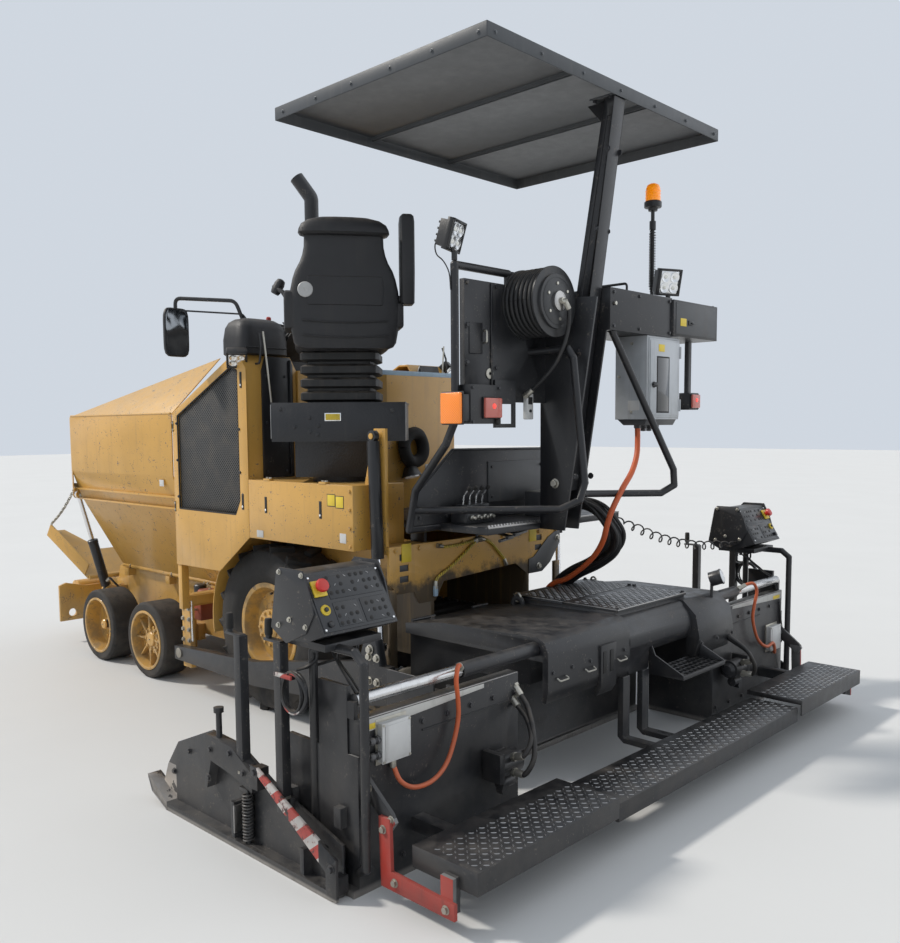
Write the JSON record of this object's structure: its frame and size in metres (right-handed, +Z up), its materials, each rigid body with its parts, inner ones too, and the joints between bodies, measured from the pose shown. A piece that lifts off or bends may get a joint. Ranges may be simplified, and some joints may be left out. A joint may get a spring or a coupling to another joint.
{
  "type": "asphalt paver",
  "caption": "Small wheeled asphalt paver with a folding hopper, side towers, swing-out seat, rear-mast canopy and a floating screed with sliding extensions.",
  "frame": {"origin": "on the ground under the middle of the machine's box", "axes": "+X forward, +Y to the left, +Z up"},
  "size_m": [5.814, 3.87, 3.456],
  "materials": {
    "black": "satin black, scuffed",
    "grey": "dark grey",
    "hose": "black hose",
    "lamp": "black lamp bodies",
    "light": "light grey",
    "mesh": "black perforated sheet",
    "paint": "satin, lightly worn",
    "rubber": "matte, dusty",
    "seat": "moulded black",
    "steel": "polished rod"
  },
  "bodies": {
    "tractor": {"frame": "paint", "engine": "black", "hood": "paint", "towers": "paint", "tower_grilles": "mesh", "side_panels": "paint", "conveyor": "black", "push_beam": "paint", "bogie_beams": "paint", "lift_brackets": "paint", "deck": "black", "operator_console": "black", "rear_guard": "black", "hose_reel": "hose", "cabinet": "light", "work_lamps": "lamp", "side_mirror": "black", "exhaust": "black"},
    "push_rollers": {"push_rollers": "paint"},
    "knuckle_front_left": {"knuckle_front_left": "black"},
    "bogie_wheel_front_left": {"bogie_tyre_front_left": "rubber", "bogie_rim_front_left": "paint"},
    "knuckle_front_right": {"knuckle_front_right": "black"},
    "bogie_wheel_front_right": {"bogie_tyre_front_right": "rubber", "bogie_rim_front_right": "paint"},
    "knuckle_rear_left": {"knuckle_rear_left": "black"},
    "bogie_wheel_rear_left": {"bogie_tyre_rear_left": "rubber", "bogie_rim_rear_left": "paint"},
    "knuckle_rear_right": {"knuckle_rear_right": "black"},
    "bogie_wheel_rear_right": {"bogie_tyre_rear_right": "rubber", "bogie_rim_rear_right": "paint"},
    "drive_wheel_left": {"drive_tyre_left": "rubber", "drive_rim_left": "paint"},
    "drive_wheel_right": {"drive_tyre_right": "rubber", "drive_rim_right": "paint"},
    "left_wing": {"left_wing": "paint"},
    "wing_barrel_left": {"wing_barrel_left": "black"},
    "wing_rod_left": {"wing_rod_left": "steel"},
    "right_wing": {"right_wing": "paint"},
    "wing_barrel_right": {"wing_barrel_right": "black"},
    "wing_rod_right": {"wing_rod_right": "steel"},
    "apron": {"apron": "paint"},
    "seat": {"seat_base": "black", "seat": "seat"},
    "canopy": {"mast": "black", "roof": "grey"},
    "auger_left": {"auger_left": "paint"},
    "auger_right": {"auger_right": "paint"},
    "screed": {"tow_arms": "black", "screed": "black", "screed_cover": "black", "walkway": "black"},
    "lift_barrels": {"lift_barrels": "black"},
    "lift_rods": {"lift_rods": "steel"},
    "extension_left": {"extension_left": "black", "end_gate_left": "black"},
    "guide_sleeve_left": {"guide_sleeve_left": "black"},
    "extension_right": {"extension_right": "black", "end_gate_right": "black"},
    "guide_sleeve_right": {"guide_sleeve_right": "black"}
  },
  "joints": [
    {"name": "push_rollers_turn", "type": "hinge", "parent": "tractor", "child": "push_rollers", "pos_m": [2.735, 0, 0.4], "axis": [0, 1, 0], "continuous": true},
    {"name": "steer_front_left", "type": "hinge", "parent": "tractor", "child": "knuckle_front_left", "pos_m": [1.816, 0.6, 0.27], "axis": [0, 0, 1], "range_deg": [-18, 18]},
    {"name": "roll_front_left", "type": "hinge", "parent": "knuckle_front_left", "child": "bogie_wheel_front_left", "pos_m": [1.816, 0.762, 0.27], "axis": [0, 1, 0], "continuous": true},
    {"name": "steer_front_right", "type": "hinge", "parent": "tractor", "child": "knuckle_front_right", "pos_m": [1.816, -0.6, 0.27], "axis": [0, 0, 1], "range_deg": [-18, 18]},
    {"name": "roll_front_right", "type": "hinge", "parent": "knuckle_front_right", "child": "bogie_wheel_front_right", "pos_m": [1.816, -0.762, 0.27], "axis": [0, 1, 0], "continuous": true},
    {"name": "steer_rear_left", "type": "hinge", "parent": "tractor", "child": "knuckle_rear_left", "pos_m": [1.072, 0.6, 0.27], "axis": [0, 0, 1], "range_deg": [-11.7, 11.7]},
    {"name": "roll_rear_left", "type": "hinge", "parent": "knuckle_rear_left", "child": "bogie_wheel_rear_left", "pos_m": [1.072, 0.762, 0.27], "axis": [0, 1, 0], "continuous": true},
    {"name": "steer_rear_right", "type": "hinge", "parent": "tractor", "child": "knuckle_rear_right", "pos_m": [1.072, -0.6, 0.27], "axis": [0, 0, 1], "range_deg": [-11.7, 11.7]},
    {"name": "roll_rear_right", "type": "hinge", "parent": "knuckle_rear_right", "child": "bogie_wheel_rear_right", "pos_m": [1.072, -0.762, 0.27], "axis": [0, 1, 0], "continuous": true},
    {"name": "drive_left", "type": "hinge", "parent": "tractor", "child": "drive_wheel_left", "pos_m": [-0.24, 0.605, 0.525], "axis": [0, 1, 0], "continuous": true},
    {"name": "drive_right", "type": "hinge", "parent": "tractor", "child": "drive_wheel_right", "pos_m": [-0.24, -0.605, 0.525], "axis": [0, 1, 0], "continuous": true},
    {"name": "left_wing_open", "type": "hinge", "parent": "tractor", "child": "left_wing", "pos_m": [1.36, 0.47, 0.66], "axis": [-1, 0, 0], "range_deg": [0, 48]},
    {"name": "wing_barrel_left_tilt", "type": "hinge", "parent": "tractor", "child": "wing_barrel_left", "pos_m": [2.25, 0.585, 0.46], "axis": [-1, 0, 0], "range_deg": [0, 43]},
    {"name": "wing_rod_left_slide", "type": "slide", "parent": "wing_barrel_left", "child": "wing_rod_left", "axis": [0, 0.2512, 0.9679], "range_m": [-0.175, 0]},
    {"name": "right_wing_open", "type": "hinge", "parent": "tractor", "child": "right_wing", "pos_m": [1.36, -0.47, 0.66], "axis": [1, 0, 0], "range_deg": [0, 48]},
    {"name": "wing_barrel_right_tilt", "type": "hinge", "parent": "tractor", "child": "wing_barrel_right", "pos_m": [2.25, -0.585, 0.46], "axis": [1, 0, 0], "range_deg": [0, 43]},
    {"name": "wing_rod_right_slide", "type": "slide", "parent": "wing_barrel_right", "child": "wing_rod_right", "axis": [0, -0.2512, 0.9679], "range_m": [-0.175, 0]},
    {"name": "apron_tilt", "type": "hinge", "parent": "tractor", "child": "apron", "pos_m": [2.455, 0, 0.54], "axis": [0, 1, 0], "range_deg": [-40, 10]},
    {"name": "seat_swing", "type": "hinge", "parent": "tractor", "child": "seat", "pos_m": [-0.79, 0.57, 1.46], "axis": [0, 0, 1], "range_deg": [0, 46]},
    {"name": "canopy_tilt", "type": "hinge", "parent": "tractor", "child": "canopy", "pos_m": [-1.94, 0, 1.46], "axis": [0, -1, 0], "range_deg": [0, 55]},
    {"name": "auger_left_turn", "type": "hinge", "parent": "tractor", "child": "auger_left", "pos_m": [-1.24, 0.4, 0.27], "axis": [0, 1, 0], "continuous": true},
    {"name": "auger_right_turn", "type": "hinge", "parent": "tractor", "child": "auger_right", "pos_m": [-1.24, -0.4, 0.27], "axis": [0, 1, 0], "continuous": true},
    {"name": "screed_lift", "type": "hinge", "parent": "tractor", "child": "screed", "pos_m": [0.64, 0, 0.25], "axis": [0, 1, 0], "range_deg": [0, 8]},
    {"name": "lift_barrels_tilt", "type": "hinge", "parent": "tractor", "child": "lift_barrels", "pos_m": [-1.29, 0, 1.72], "axis": [0, 1, 0], "range_deg": [-4, 0]},
    {"name": "lift_rods_slide", "type": "slide", "parent": "lift_barrels", "child": "lift_rods", "axis": [-0.0357, 0, -0.9994], "range_m": [-0.28, 0]},
    {"name": "extension_left_slide", "type": "slide", "parent": "screed", "child": "extension_left", "axis": [0, 1, 0], "range_m": [-0.84, 0]},
    {"name": "guide_sleeve_left_slide", "type": "slide", "parent": "screed", "child": "guide_sleeve_left", "axis": [0, 1, 0], "range_m": [-0.28, 0]},
    {"name": "extension_right_slide", "type": "slide", "parent": "screed", "child": "extension_right", "axis": [0, -1, 0], "range_m": [-0.84, 0]},
    {"name": "guide_sleeve_right_slide", "type": "slide", "parent": "screed", "child": "guide_sleeve_right", "axis": [0, -1, 0], "range_m": [-0.28, 0]}
  ],
  "couplings": [
    {"joint": "steer_front_right", "follows": "steer_front_left", "ratio": 1},
    {"joint": "steer_rear_left", "follows": "steer_front_left", "ratio": 0.65},
    {"joint": "steer_rear_right", "follows": "steer_front_left", "ratio": 0.65},
    {"joint": "wing_barrel_left_tilt", "follows": "left_wing_open", "ratio": 0.873},
    {"joint": "wing_rod_left_slide", "follows": "left_wing_open", "m_per_rad": -0.203},
    {"joint": "wing_barrel_right_tilt", "follows": "right_wing_open", "ratio": 0.873},
    {"joint": "wing_rod_right_slide", "follows": "right_wing_open", "m_per_rad": -0.203},
    {"joint": "lift_barrels_tilt", "follows": "screed_lift", "ratio": -0.4925},
    {"joint": "lift_rods_slide", "follows": "screed_lift", "m_per_rad": -1.941},
    {"joint": "guide_sleeve_left_slide", "follows": "extension_left_slide", "ratio": 0.333},
    {"joint": "guide_sleeve_right_slide", "follows": "extension_right_slide", "ratio": 0.333}
  ]
}
